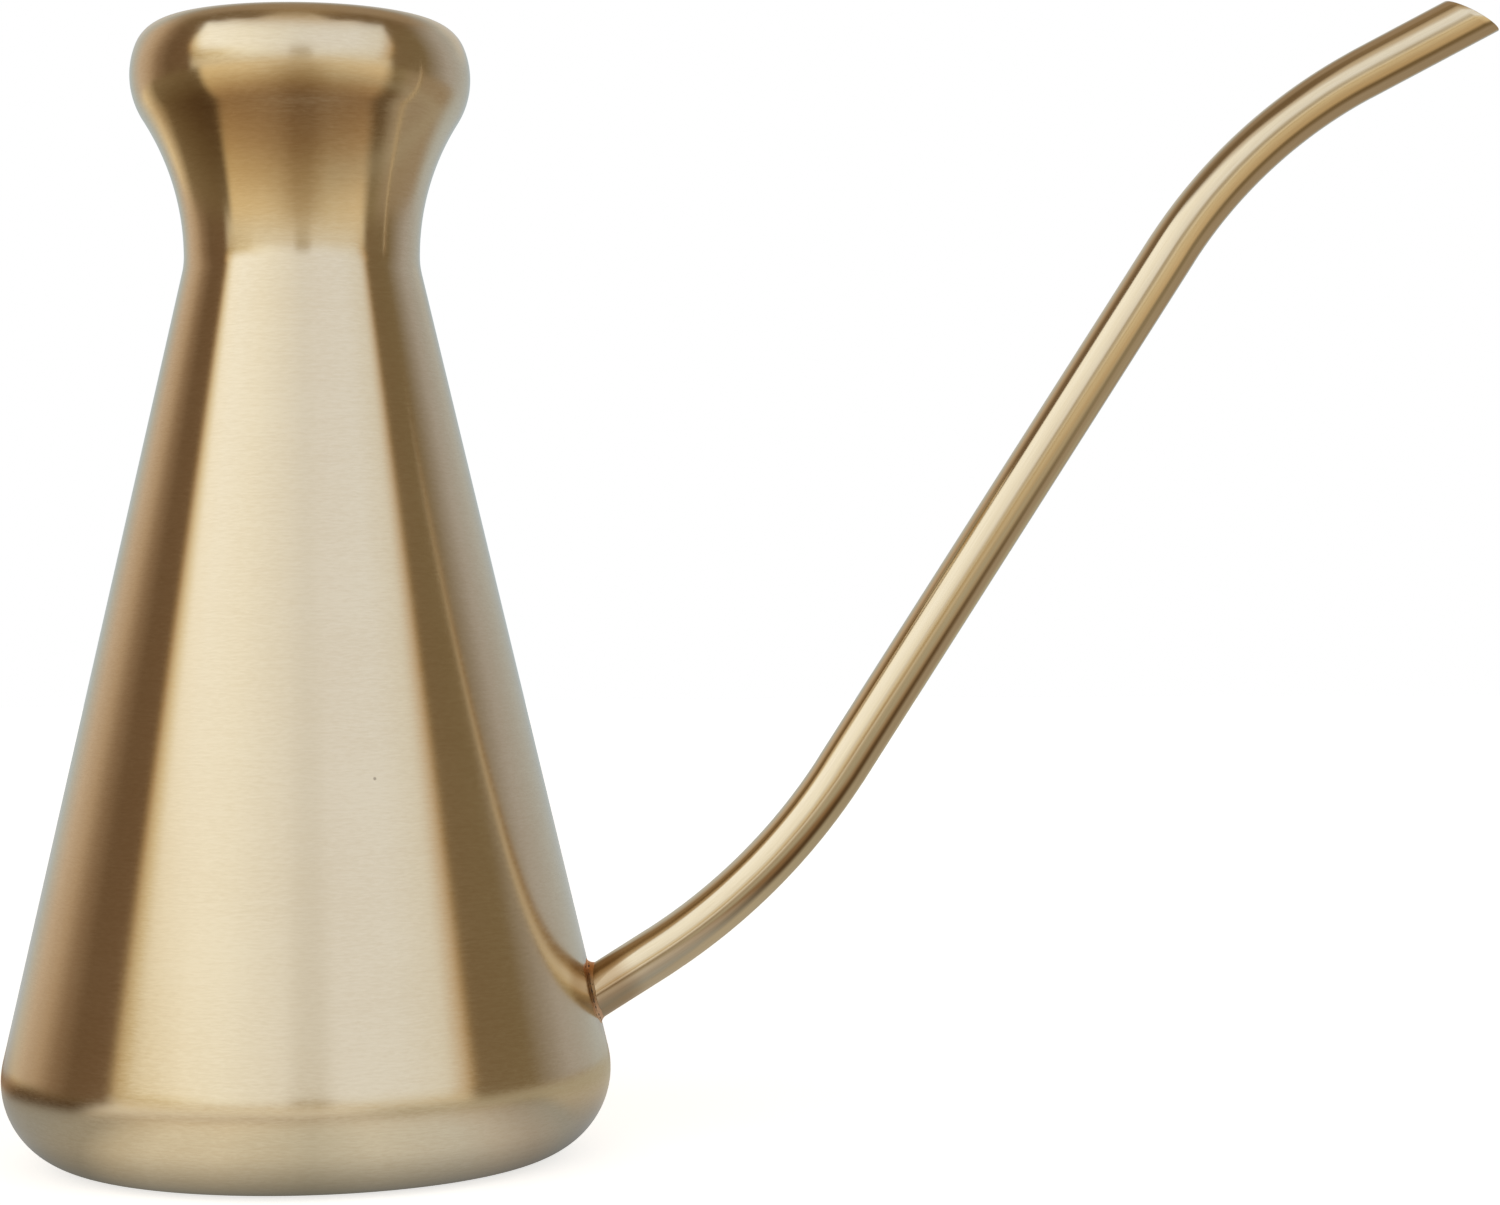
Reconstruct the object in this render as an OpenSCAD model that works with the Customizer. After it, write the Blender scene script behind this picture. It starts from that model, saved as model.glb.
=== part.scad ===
// Conical pouring can: a spun cone and a flared neck welded at the waist,
// a pressed base, and a long bent spout brazed low on the cone's side.
// The can stands on z = 0 with its axis on Z, and the spout points along +X.

/* [Body] */
// Widest diameter of the cone, just above its bottom corner
body_d = 117.4; // [100:0.1:160]
// Height from the rest face to the top of the lip
height = 220.4; // [200:0.1:280]
// Outside radius of the round bottom corner
corner_r = 16.7; // [8:0.1:24]
// Sheet thickness of the cone and the neck
wall = 0.7; // [0.5:0.05:1.2]

/* [Waist and neck] */
// Outside diameter at the waist, where cone and neck are welded
waist_d = 45.6; // [40:0.2:56]
// Radius of the soft crease between the cone and the waist
crease_r = 14.5; // [8:0.5:30]
// Radius of the neck's hollow flare
flare_r = 49.5; // [42:0.5:60]
// Widest diameter of the lip
lip_d = 65.8; // [60:0.1:78]
// Radius of the lip's belly, up to where the top roll starts
lip_belly_r = 15.6; // [12:0.1:18]
// Height angle on the lip at which the belly turns into the top roll
lip_roll_from = 22; // [10:1:35]
// Radius of the roll over the top of the lip
lip_roll_r = 7.2; // [5:0.1:9]
// Radius of the edge that is curled back inside the lip
lip_curl_r = 4; // [2.5:0.1:4.8]
// Height of the ring weld at the waist
waist_weld_h = 1.4; // [0.8:0.1:3]
// How far the waist weld stands proud on the inside
waist_weld_proud = 0.5; // [0.2:0.1:1]

/* [Base] */
// Width of the flat foot ring that the can stands on
foot_w = 5; // [3:0.5:8]
// Thickness of the base plate
plate_t = 0.8; // [0.5:0.1:1.5]
// How far the base plate laps over the foot ring
plate_lap = 3; // [1.5:0.5:5]
// Rise of the base plate's middle
plate_rise = 2; // [0:0.5:5]
// Leg of the ring weld under the base plate
base_weld_leg = 0.6; // [0.3:0.1:0.7]

/* [Spout] */
// Outside diameter of the spout tube
tube_d = 10; // [7:0.5:14]
// Wall of the spout tube
tube_wall = 0.5; // [0.3:0.05:0.8]
// Height at which the tube's centreline meets the cone
root_z = 31.4; // [30:0.1:45]
// Rise of the root straight above the horizontal
root_rise = 31.9; // [15:0.1:45]
// Length of the root straight, from the cone to the first bend
root_len = 14.1; // [12:0.1:40]
// Centreline radius of the first bend, which turns the spout up
first_bend_r = 118; // [60:1:160]
// Rise of the long straight above the horizontal
run_rise = 57; // [50:0.1:70]
// Length of the long straight
run_len = 119.3; // [60:0.1:160]
// Centreline radius of the second bend, which lays the spout over
second_bend_r = 101; // [60:1:160]
// Rise of the tip above the horizontal
tip_rise = 27.5; // [10:0.1:40]
// Length of the tip straight, up to the middle of its slant cut
tip_len = 23.7; // [16:0.1:50]
// Angle between the slant cut and the tube
tip_cut = 56.4; // [40:0.1:90]
// How far the tube reaches in past the cone, on its centreline
root_reach = 5; // [4:0.5:10]
// Gap between the tube and its hole in the cone
root_gap = 0.05; // [0.02:0.01:0.2]
// Leg of the braze collar on the cone and on the tube
braze_leg = 1.3; // [0.6:0.1:2.5]

/* [Hidden] */

// Degrees between the points of an arc
arc_step = 3;
$fn = 96;
// How far a cutting solid reaches past what it cuts
past = 1;
// How much prouder a bend is than its straights, outside and in, as bent tube is
bend_swell = 0.02;
// How far a straight runs into the bend beside it
bend_lap = 0.1;
// Flat left on the base plate between its weld and its raised middle
plate_ledge = 1;
// Height angles on the lip at which the curl starts and ends
curl_from = 100;
curl_to = 235;

body_r = body_d / 2;
waist_r = waist_d / 2;
lip_r = lip_d / 2;
tube_r = tube_d / 2;

// Arc centres of the outside profile, as [radius from the axis, height]
corner_c = [body_r - corner_r, corner_r];
lip_belly_x = lip_r - lip_belly_r;
flare_reach = waist_r + flare_r - lip_belly_x;
flare_rise = sqrt(pow(flare_r + lip_belly_r, 2) - pow(flare_reach, 2));
flare_end = -atan2(flare_rise, flare_reach);
roll_up = (lip_belly_r - lip_roll_r) * sin(lip_roll_from) + lip_roll_r;
waist_z = height - roll_up - flare_rise;
flare_c = [waist_r + flare_r, waist_z];
crease_c = [waist_r + crease_r, waist_z];
belly_c = [lip_belly_x, waist_z + flare_rise];
roll_c = belly_c + (lip_belly_r - lip_roll_r) * [cos(lip_roll_from), sin(lip_roll_from)];
curl_c = roll_c + (lip_roll_r - lip_curl_r) * [cos(curl_from), sin(curl_from)];

// The cone is the line that touches the corner arc and the crease arc
side = crease_c - corner_c;
cone_lean = asin((corner_r + crease_r) / norm(side)) + atan2(-side[0], side[1]);
cone_foot = corner_c + corner_r * [cos(cone_lean), sin(cone_lean)];
foot_in_r = corner_c[0] - foot_w;
plate_r = foot_in_r + plate_lap;
first_turn = run_rise - root_rise;
second_turn = tip_rise - run_rise;

// Where the spout's centreline meets the cone
root_x = cone_foot[0] - (root_z - cone_foot[1]) * tan(cone_lean);

// Points of an arc about c, from angle a to angle b, without the first few if asked
function arc(c, r, a, b, skip = 0) =
  let (n = max(2, ceil(abs(b - a) / arc_step)))
  [for (i = [skip : n]) c + r * [cos(a + (b - a) * i / n), sin(a + (b - a) * i / n)]];

function backwards(points) = [for (i = [len(points) - 1 : -1 : 0]) points[i]];

// A point at height z on the near side of an arc whose centre lies outside the can
function hollow_point(c, r, z) = [c[0] - sqrt(r * r - pow(z - c[1], 2)), z];

// The cone's side at a depth inside its outer face, from the foot up to height z
function cone_side(depth, z) =
  concat(
    arc(corner_c, corner_r - depth, -90, cone_lean),
    arc(crease_c, crease_r + depth, 180 + cone_lean,
        180 + asin((waist_z - z) / (crease_r + depth))));

// The neck's side at a depth inside its outer face, from height z to the curled edge
function neck_side(depth, z) =
  concat(
    arc(flare_c, flare_r + depth, 180 - asin((z - waist_z) / (flare_r + depth)),
        180 + flare_end),
    arc(belly_c, lip_belly_r - depth, flare_end, lip_roll_from, skip = 1),
    arc(roll_c, lip_roll_r - depth, lip_roll_from, curl_from, skip = 1),
    arc(curl_c, lip_curl_r - depth, curl_from, curl_to, skip = 1));

// Everything inside the cone's outer face grown by a margin
module cone_body(margin) {
  rotate_extrude()
    polygon(concat([[0, -margin]], cone_side(-margin, waist_z), [[0, waist_z]]));
}

// Turns what follows so that its +X climbs at an angle
module climbing(angle) {
  rotate([0, -angle, 0]) children();
}

// A straight of tube along +X
module straight(from, to) {
  translate([from, 0, 0]) rotate([0, 90, 0]) difference() {
    cylinder(h = to - from, r = tube_r);
    translate([0, 0, -past]) cylinder(h = to - from + 2 * past, r = tube_r - tube_wall);
  }
}

// A bend that leaves the origin along +X: up for a positive angle, down for a negative one
module bend(radius, angle) {
  way = sign(angle);
  translate([0, 0, way * radius]) rotate([90, 0, 0])
    rotate_extrude(angle = abs(angle), start = angle > 0 ? -90 : 90 - abs(angle))
      translate([radius, 0]) difference() {
        circle(r = tube_r + bend_swell);
        circle(r = tube_r - tube_wall - bend_swell);
      }
}

// Puts what follows at the far end of that bend, with +X along the tube again
module past_bend(radius, angle) {
  way = sign(angle);
  translate([0, 0, way * radius]) climbing(angle)
    translate([0, 0, -way * radius]) children();
}

// Where each stretch of the spout starts, with +X along the tube
module at_root() {
  translate([root_x, 0, root_z]) climbing(root_rise) children();
}

module at_first_bend() {
  at_root() translate([root_len, 0, 0]) children();
}

module at_run() {
  at_first_bend() past_bend(first_bend_r, first_turn) children();
}

module at_second_bend() {
  at_run() translate([run_len, 0, 0]) children();
}

module at_tip() {
  at_second_bend() past_bend(second_bend_r, second_turn) children();
}

// A plain rod on the root straight's centreline, through the cone's wall
module root_rod(radius) {
  at_root() translate([-root_reach - past, 0, 0]) rotate([0, 90, 0])
    cylinder(h = root_reach + root_len, r = radius);
}

module body_cone() {
  top = waist_z - waist_weld_h / 2;
  color("darkgoldenrod") difference() {
    rotate_extrude() polygon(concat(
      [[foot_in_r, 0]], cone_side(0, top),
      backwards(cone_side(wall, top)), [[foot_in_r, wall]]));
    root_rod(tube_r + root_gap);
  }
}

module neck_funnel() {
  bottom = waist_z + waist_weld_h / 2;
  color("goldenrod") rotate_extrude()
    polygon(concat(neck_side(0, bottom), backwards(neck_side(wall, bottom))));
}

// The ring weld between cone and neck: dressed flush outside, proud inside
module waist_weld() {
  low = waist_z - waist_weld_h / 2;
  high = waist_z + waist_weld_h / 2;
  proud_r = waist_r - wall - waist_weld_proud;
  color("peru") rotate_extrude() polygon([
    hollow_point(crease_c, crease_r, low),
    [waist_r, waist_z],
    hollow_point(flare_c, flare_r, high),
    hollow_point(flare_c, flare_r + wall, high),
    [proud_r, waist_z + waist_weld_h / 4],
    [proud_r, waist_z - waist_weld_h / 4],
    hollow_point(crease_c, crease_r + wall, low)]);
}

// The base plate lies on the foot ring, and its middle is pressed up out of harm's way
module base_plate() {
  flat_r = foot_in_r - base_weld_leg - plate_ledge;
  raised_r = flat_r - plate_rise;
  top = wall + plate_t;
  color("goldenrod") rotate_extrude() polygon([
    [0, wall + plate_rise], [raised_r, wall + plate_rise], [flat_r, wall], [plate_r, wall],
    [plate_r, top], [flat_r, top], [raised_r, top + plate_rise], [0, top + plate_rise]]);
}

// The ring weld in the corner between the foot ring's edge and the base plate
module base_weld() {
  leg = min(base_weld_leg, wall);
  color("peru") rotate_extrude() polygon([
    [foot_in_r, wall], [foot_in_r - leg, wall], [foot_in_r, wall - leg]]);
}

module spout_tube() {
  color("gold") difference() {
    union() {
      at_root() straight(-root_reach, root_len + bend_lap);
      at_first_bend() bend(first_bend_r, first_turn);
      at_run() straight(-bend_lap, run_len + bend_lap);
      at_second_bend() bend(second_bend_r, second_turn);
      at_tip() straight(-bend_lap, tip_len + tube_d);
    }
    at_tip() translate([tip_len, 0, 0]) climbing(90 - tip_cut)
      translate([0, -tube_d, -2 * tube_d]) cube([4 * tube_d, 2 * tube_d, 4 * tube_d]);
  }
}

// The braze collar, as wide on the cone as it is long on the tube
module spout_braze() {
  color("sienna") difference() {
    intersection() {
      cone_body(braze_leg);
      root_rod(tube_r + braze_leg);
    }
    cone_body(0);
    root_rod(tube_r);
  }
}

body_cone();
neck_funnel();
waist_weld();
base_plate();
base_weld();
spout_tube();
spout_braze();
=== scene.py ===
"""Looks of a brushed brass pouring can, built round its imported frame.

The can stands on z = 0 with its axis on Z, and the spout points along +X.
Sizes are in millimetres in the classes and become metres when a mesh is made.
"""

from __future__ import annotations

import logging
import math
from dataclasses import dataclass, field
from enum import Enum
from functools import reduce
from typing import Any, Sequence

import bpy
import numpy as np
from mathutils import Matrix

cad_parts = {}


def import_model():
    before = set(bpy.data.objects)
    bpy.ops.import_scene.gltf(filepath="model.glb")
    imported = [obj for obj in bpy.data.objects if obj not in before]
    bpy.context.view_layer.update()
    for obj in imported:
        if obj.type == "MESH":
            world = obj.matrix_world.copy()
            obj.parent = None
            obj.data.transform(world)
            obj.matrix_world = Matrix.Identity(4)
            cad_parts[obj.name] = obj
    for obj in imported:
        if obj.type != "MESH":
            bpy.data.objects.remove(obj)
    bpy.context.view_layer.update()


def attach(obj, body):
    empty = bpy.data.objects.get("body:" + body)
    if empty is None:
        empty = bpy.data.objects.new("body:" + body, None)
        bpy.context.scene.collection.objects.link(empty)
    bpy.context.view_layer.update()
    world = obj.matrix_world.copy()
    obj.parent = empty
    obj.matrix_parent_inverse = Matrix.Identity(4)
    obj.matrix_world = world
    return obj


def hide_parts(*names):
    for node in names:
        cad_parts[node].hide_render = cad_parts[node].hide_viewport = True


log = logging.getLogger("pouring_can")

MM = 0.001
BODY = "root"
UV_NAME = "UVMap"
SHARP_ANGLE = 0.6
MERGE_WITHIN = 0.002 * MM
BORE_SIDES = 96
RIPPLE_SEED = 4
SIDEWAYS = np.array([0.0, 1.0, 0.0])
Triple = tuple[float, float, float]
Colour = Triple
Span = tuple[float, float]
Stops = Sequence[tuple[float, float, float, float]]
Array = np.ndarray
Node = bpy.types.Node
Object = bpy.types.Object
Socket = bpy.types.NodeSocket
Tree = bpy.types.NodeTree


# ---- node wiring


class Bench:
    """Adds nodes to one node tree and wires them."""

    def __init__(self, tree: Tree) -> None:
        """Keeps the tree that the nodes go into."""
        self.tree = tree

    def feed(self, node: Node, socket: int | str, value: Any) -> None:
        """Links an output to an input, or sets the input to a plain value.

        Args:
            node: The node whose input is fed.
            socket: The input's name or place.
            value: An output, a node for its first output, or a plain value.
        """
        target = node.inputs[socket]
        if isinstance(value, Node):
            value = value.outputs[0]
        if isinstance(value, Socket):
            self.tree.links.new(value, target)
        else:
            target.default_value = (*value, 1.0) if target.type == "RGBA" else value

    def add(self, kind: str, inputs: dict[int | str, Any] | None = None, **settings: Any) -> Node:
        """Adds a node.

        Args:
            kind: The node's type name.
            inputs: What feeds its inputs, by name or place.
            **settings: The node's own properties.

        Returns:
            The new node.
        """
        node = self.tree.nodes.new(kind)
        for name, value in settings.items():
            setattr(node, name, value)
        for socket, value in (inputs or {}).items():
            self.feed(node, socket, value)
        return node

    def math(self, operation: str, *values: Any) -> Socket:
        """Adds a Math node that works on sockets and numbers."""
        return self.add("ShaderNodeMath", dict(enumerate(values)), operation=operation).outputs[0]

    def product(self, *values: Any) -> Socket:
        """Multiplies sockets and numbers, from the first to the last."""
        return reduce(lambda first, second: self.math("MULTIPLY", first, second), values)

    def within(self, *limits: tuple[Any, float, float]) -> Socket:
        """Multiplies smooth steps, each given as its value, low and high."""
        return self.product(*(self.window(*limit) for limit in limits))

    def sway(self, value: Any, size: float, base: Any) -> Socket:
        """Adds to a base how far a value is from 0.5, times a size."""
        return self.math("MULTIPLY_ADD", self.math("SUBTRACT", value, 0.5), size, base)

    def bearing(self, across: Any, ahead: Any) -> Socket:
        """Finds the angle from straight ahead towards +X, in degrees."""
        return self.math("DEGREES", self.math("ARCTAN2", across, ahead))

    def vector(self, operation: str, *values: Any) -> Socket:
        """Adds a Vector Math node.

        Args:
            operation: What the node does to its values.
            *values: Sockets, vectors, or for SCALE a last number.

        Returns:
            The node's result, a number for LENGTH and DISTANCE.
        """
        node = self.add("ShaderNodeVectorMath", operation=operation)
        places = [0, 3] if operation == "SCALE" else range(len(values))
        for place, value in zip(places, values):
            self.feed(node, place, value)
        return node.outputs["Value" if operation in ("LENGTH", "DISTANCE") else "Vector"]

    def window(self, value: Any, low: float, high: float) -> Socket:
        """Adds a smooth step from 0 at low to 1 at high, either way round.

        Args:
            value: The socket that is read.
            low: Where the result is 0.
            high: Where the result is 1.

        Returns:
            The step's result.
        """
        inputs = {0: value, 1: min(low, high), 2: max(low, high)}
        step = self.add("ShaderNodeMapRange", inputs, interpolation_type="SMOOTHSTEP").outputs[0]
        return step if low < high else self.math("SUBTRACT", 1.0, step)

    def ramp(self, value: Any, stops: Stops, low: float = 0.0, high: float = 1.0) -> Socket:
        """Adds a colour ramp.

        Args:
            value: The socket that is read.
            stops: A value and its linear colour, stop after stop.
            low: The value at the ramp's start.
            high: The value at the ramp's end.

        Returns:
            The ramp's colour.
        """
        place = self.add("ShaderNodeMapRange", {0: value, 1: low, 2: high}).outputs[0]
        node = self.add("ShaderNodeValToRGB", {0: place})
        elements = node.color_ramp.elements
        while len(elements) > 1:
            elements.remove(elements[-1])
        for number, (at, *colour) in enumerate(stops):
            share = (at - low) / (high - low)
            element = elements[0] if number == 0 else elements.new(share)
            element.position = share
            element.color = (*colour, 1.0)
        return node.outputs["Color"]

    def mix(self, share: Any, first: Any, second: Any, blend: str = "MIX") -> Socket:
        """Adds a colour Mix node.

        Args:
            share: How much of the second colour shows.
            first: The first colour or its socket.
            second: The second colour or its socket.
            blend: How the colours are mixed.

        Returns:
            The mixed colour.
        """
        inputs = {0: share, 6: first, 7: second}
        node = self.add("ShaderNodeMix", inputs, data_type="RGBA", blend_type=blend)
        return node.outputs[2]

    def noise(self, place: Any, scale: float = 1.0, detail: float = 3.0, rough: float = 0.5) -> Socket:
        """Adds a noise texture, whose result lies near 0.5."""
        inputs = {"Vector": place, "Scale": scale, "Detail": detail, "Roughness": rough}
        return self.add("ShaderNodeTexNoise", inputs).outputs[0]

    def coordinates(self, kind: str) -> Socket:
        """Adds a Texture Coordinate node and gives the named output."""
        return self.add("ShaderNodeTexCoord").outputs[kind]

    def show(self, shader: Node, output: str = "ShaderNodeOutputMaterial") -> None:
        """Sends a shader to a new output node."""
        self.feed(self.add(output), "Surface", shader)


# ---- finishes


def blank_material(name: str) -> tuple[bpy.types.Material, Bench]:
    """Makes an empty node material.

    Args:
        name: The material's name.

    Returns:
        The material and the bench of its tree.
    """
    made = bpy.data.materials.new(name)
    made.use_nodes = True
    made.node_tree.nodes.clear()
    return made, Bench(made.node_tree)


class Brushing(Enum):
    """The way the abrasive ran: the coordinates, and how fine lines, broad lines and clouds stretch."""

    ROUND = ("Object", ((600, 600, 3200), (110, 110, 1700), (24, 24, 45)))
    LENGTHWISE = ("UV", ((150, 60, 1), (36, 14, 1), (3, 11, 1)))


@dataclass(frozen=True)
class HeatTint:
    """The browned zone round a joint, by its middle and reach in millimetres."""

    middle: Triple
    inner: float
    outer: float
    ragged: float = 4.0
    colour: Colour = (0.50, 0.33, 0.17)
    strength: float = 0.5


@dataclass(frozen=True)
class BrushedBrass:
    """Satin brass with fine brush lines, cloudy handling marks and small specks."""

    name: str
    brushing: Brushing = Brushing.ROUND
    tone: Colour = (0.80, 0.68, 0.49)
    deep: Colour = (0.735, 0.605, 0.415)
    roughness: float = 0.17
    anisotropy: float = 0.85
    fine_share: float = 0.75
    line_share: float = 0.7
    tone_span: Span = (0.34, 0.66)
    line_depth: float = 0.8
    line_relief: float = 0.000004
    line_sway: float = 0.16
    cloud_sway: float = 0.07
    speck: Colour = (0.10, 0.07, 0.04)
    speck_share: float = 0.5
    specks_per_m: float = 55.0
    speck_size: Span = (0.022, 0.012)
    speck_rarity: Span = (0.80, 0.90)
    heat: HeatTint | None = None

    def _strokes(self, bench: Bench) -> list[Socket]:
        """Makes the coordinates of fine lines, broad lines and clouds.

        Args:
            bench: The material's bench.

        Returns:
            Three coordinate sockets.
        """
        kind, stretches = self.brushing.value
        place = bench.coordinates(kind)
        return [bench.add("ShaderNodeMapping", {"Vector": place, "Scale": s}).outputs[0] for s in stretches]

    def material(self) -> bpy.types.Material:
        """Builds the finish as a node material.

        Returns:
            The material.
        """
        made, bench = blank_material(self.name)
        fine_at, broad_at, cloud_at = self._strokes(bench)
        fine = bench.noise(fine_at, detail=4.0, rough=0.65)
        broad = bench.noise(broad_at, detail=2.0)
        cloud = bench.noise(cloud_at)
        lines = bench.math("MULTIPLY_ADD", fine, self.fine_share, bench.product(broad, 1 - self.fine_share))
        clouds = bench.product(cloud, 1 - self.line_share)
        shade = bench.math("MULTIPLY_ADD", lines, self.line_share, clouds)
        tone = bench.mix(bench.window(shade, *self.tone_span), self.deep, self.tone)
        tone = bench.mix(self._specks(bench), tone, self.speck)
        if self.heat:
            tone = bench.mix(self._heat(bench, cloud), tone, self.heat.colour, "MULTIPLY")
        spread = bench.sway(cloud, self.cloud_sway, bench.sway(lines, self.line_sway, self.roughness))
        relief = {"Strength": self.line_depth, "Distance": self.line_relief, "Height": lines}
        shader = bench.add("ShaderNodeBsdfPrincipled", {
            "Base Color": tone, "Metallic": 1.0, "Roughness": spread, "Anisotropic": self.anisotropy,
            "Normal": bench.add("ShaderNodeBump", relief),
        })
        bench.feed(shader, "Tangent", self._grain(bench, shader))
        bench.show(shader)
        return made

    def _grain(self, bench: Bench, shader: Node) -> Socket:
        """Sets which way a reflection spreads, which is across the brush lines.

        Args:
            bench: The material's bench.
            shader: The surface shader, whose turn is set.

        Returns:
            The tangent.
        """
        if self.brushing is Brushing.ROUND:
            shader.inputs["Anisotropic Rotation"].default_value = 0.25
            return bench.add("ShaderNodeTangent", direction_type="RADIAL", axis="Z").outputs[0]
        return bench.add("ShaderNodeTangent", direction_type="UV_MAP", uv_map=UV_NAME).outputs[0]

    def _specks(self, bench: Bench) -> Socket:
        """Scatters small dark marks over the piece.

        Args:
            bench: The material's bench.

        Returns:
            How strongly a mark shows.
        """
        inputs = {"Vector": bench.coordinates("Object"), "Scale": self.specks_per_m}
        cells = bench.add("ShaderNodeTexVoronoi", inputs)
        near = bench.window(cells.outputs["Distance"], *self.speck_size)
        kept = bench.add("ShaderNodeSeparateColor", {0: cells.outputs["Color"]}).outputs[0]
        return bench.product(near, bench.window(kept, *self.speck_rarity), self.speck_share)

    def _heat(self, bench: Bench, cloud: Any) -> Socket:
        """Finds how strongly the metal is browned by the brazing heat.

        Args:
            bench: The material's bench.
            cloud: The noise that makes the zone's edge uneven.

        Returns:
            The browning, from 0 to 1.
        """
        heat = self.heat
        middle = tuple(value * MM for value in heat.middle)
        reach = bench.vector("DISTANCE", bench.coordinates("Object"), middle)
        reach = bench.sway(cloud, heat.ragged * MM, reach)
        return bench.product(bench.window(reach, heat.outer * MM, heat.inner * MM), heat.strength)


@dataclass(frozen=True)
class BrazeAlloy:
    """Copper-coloured braze with flux pits, orange on top and pink below."""

    name: str
    low_z: float
    high_z: float
    orange: Colour = (0.84, 0.38, 0.13)
    brown: Colour = (0.34, 0.20, 0.09)
    pink: Colour = (0.80, 0.53, 0.36)
    pit: Colour = (0.018, 0.012, 0.008)
    ragged: float = 2.5
    relief: float = 0.12
    groove: tuple[Span, Span] = ((0.16, 0.24), (0.40, 0.30))
    pit_span: Span = (0.47, 0.56)
    loose_span: Span = (0.66, 0.70)
    loose_share: float = 0.8
    roughness: float = 0.36
    pit_roughness: float = 0.35

    def material(self) -> bpy.types.Material:
        """Builds the finish as a node material.

        Returns:
            The material.
        """
        made, bench = blank_material(self.name)
        place = bench.coordinates("Object")
        height = bench.add("ShaderNodeSeparateXYZ", {0: place}).outputs["Z"]
        cloud = bench.noise(place, scale=900.0, detail=4.0, rough=0.6)
        height = bench.sway(cloud, self.ragged * MM, height)
        low, high = self.low_z * MM, self.high_z * MM
        bands = ((0, self.pink), (0.3, self.pink), (0.5, self.brown), (0.75, self.brown), (1, self.orange))
        stops = [(low + share * (high - low), *colour) for share, colour in bands]
        tone = bench.ramp(height, stops, low, high)
        across = bench.add("ShaderNodeSeparateXYZ", {0: bench.coordinates("UV")}).outputs["Y"]
        groove = bench.within(*((across, *edge) for edge in self.groove))
        grit = bench.noise(place, scale=1500.0, rough=0.7)
        pits = bench.product(groove, bench.window(grit, *self.pit_span))
        loose = bench.product(bench.window(grit, *self.loose_span), self.loose_share)
        pits = bench.math("MAXIMUM", pits, loose)
        height = bench.math("SUBTRACT", cloud, pits)
        relief = {"Strength": 0.7, "Distance": self.relief * MM, "Height": height}
        bench.show(bench.add("ShaderNodeBsdfPrincipled", {
            "Base Color": bench.mix(pits, tone, self.pit),
            "Metallic": bench.math("SUBTRACT", 1.0, pits),
            "Roughness": bench.math("MULTIPLY_ADD", pits, self.pit_roughness, self.roughness),
            "Normal": bench.add("ShaderNodeBump", relief),
        }))
        return made


# ---- geometry node trees


def _sockets(tree: Tree, inputs: dict[str, str]) -> tuple[Any, Node]:
    """Gives a tree its named inputs and its geometry output.

    Args:
        tree: The geometry tree.
        inputs: Each further input's kind, by name.

    Returns:
        The tree's inputs, by name, and its Group Output node.
    """
    face = tree.interface
    for name, kind in {"Geometry": "Geometry", **inputs, "Material": "Material"}.items():
        face.new_socket(name=name, in_out="INPUT", socket_type=f"NodeSocket{kind}")
    face.new_socket(name="Geometry", in_out="OUTPUT", socket_type="NodeSocketGeometry")
    return tree.nodes.new("NodeGroupInput").outputs, tree.nodes.new("NodeGroupOutput")


def _dressed(bench: Bench, geometry: Any, given: Any, result: Node) -> None:
    """Ends a tree by making its instances real and giving it its material.

    Args:
        bench: The tree's bench.
        geometry: The finished geometry.
        given: The tree's inputs.
        result: The tree's Group Output node.
    """
    real = bench.add("GeometryNodeRealizeInstances", {"Geometry": geometry})
    inputs = {"Geometry": real, "Material": given["Material"]}
    bench.feed(result, "Geometry", bench.add("GeometryNodeSetMaterial", inputs))


def _skinned(bench: Bench, skin: Tree, given: Any) -> Node:
    """Runs the shared skin tree on the tree's own rings."""
    shared = {name: given[name] for name in ("Geometry", "Segments", "Material")}
    return bench.add("GeometryNodeGroup", shared, node_tree=skin)


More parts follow.
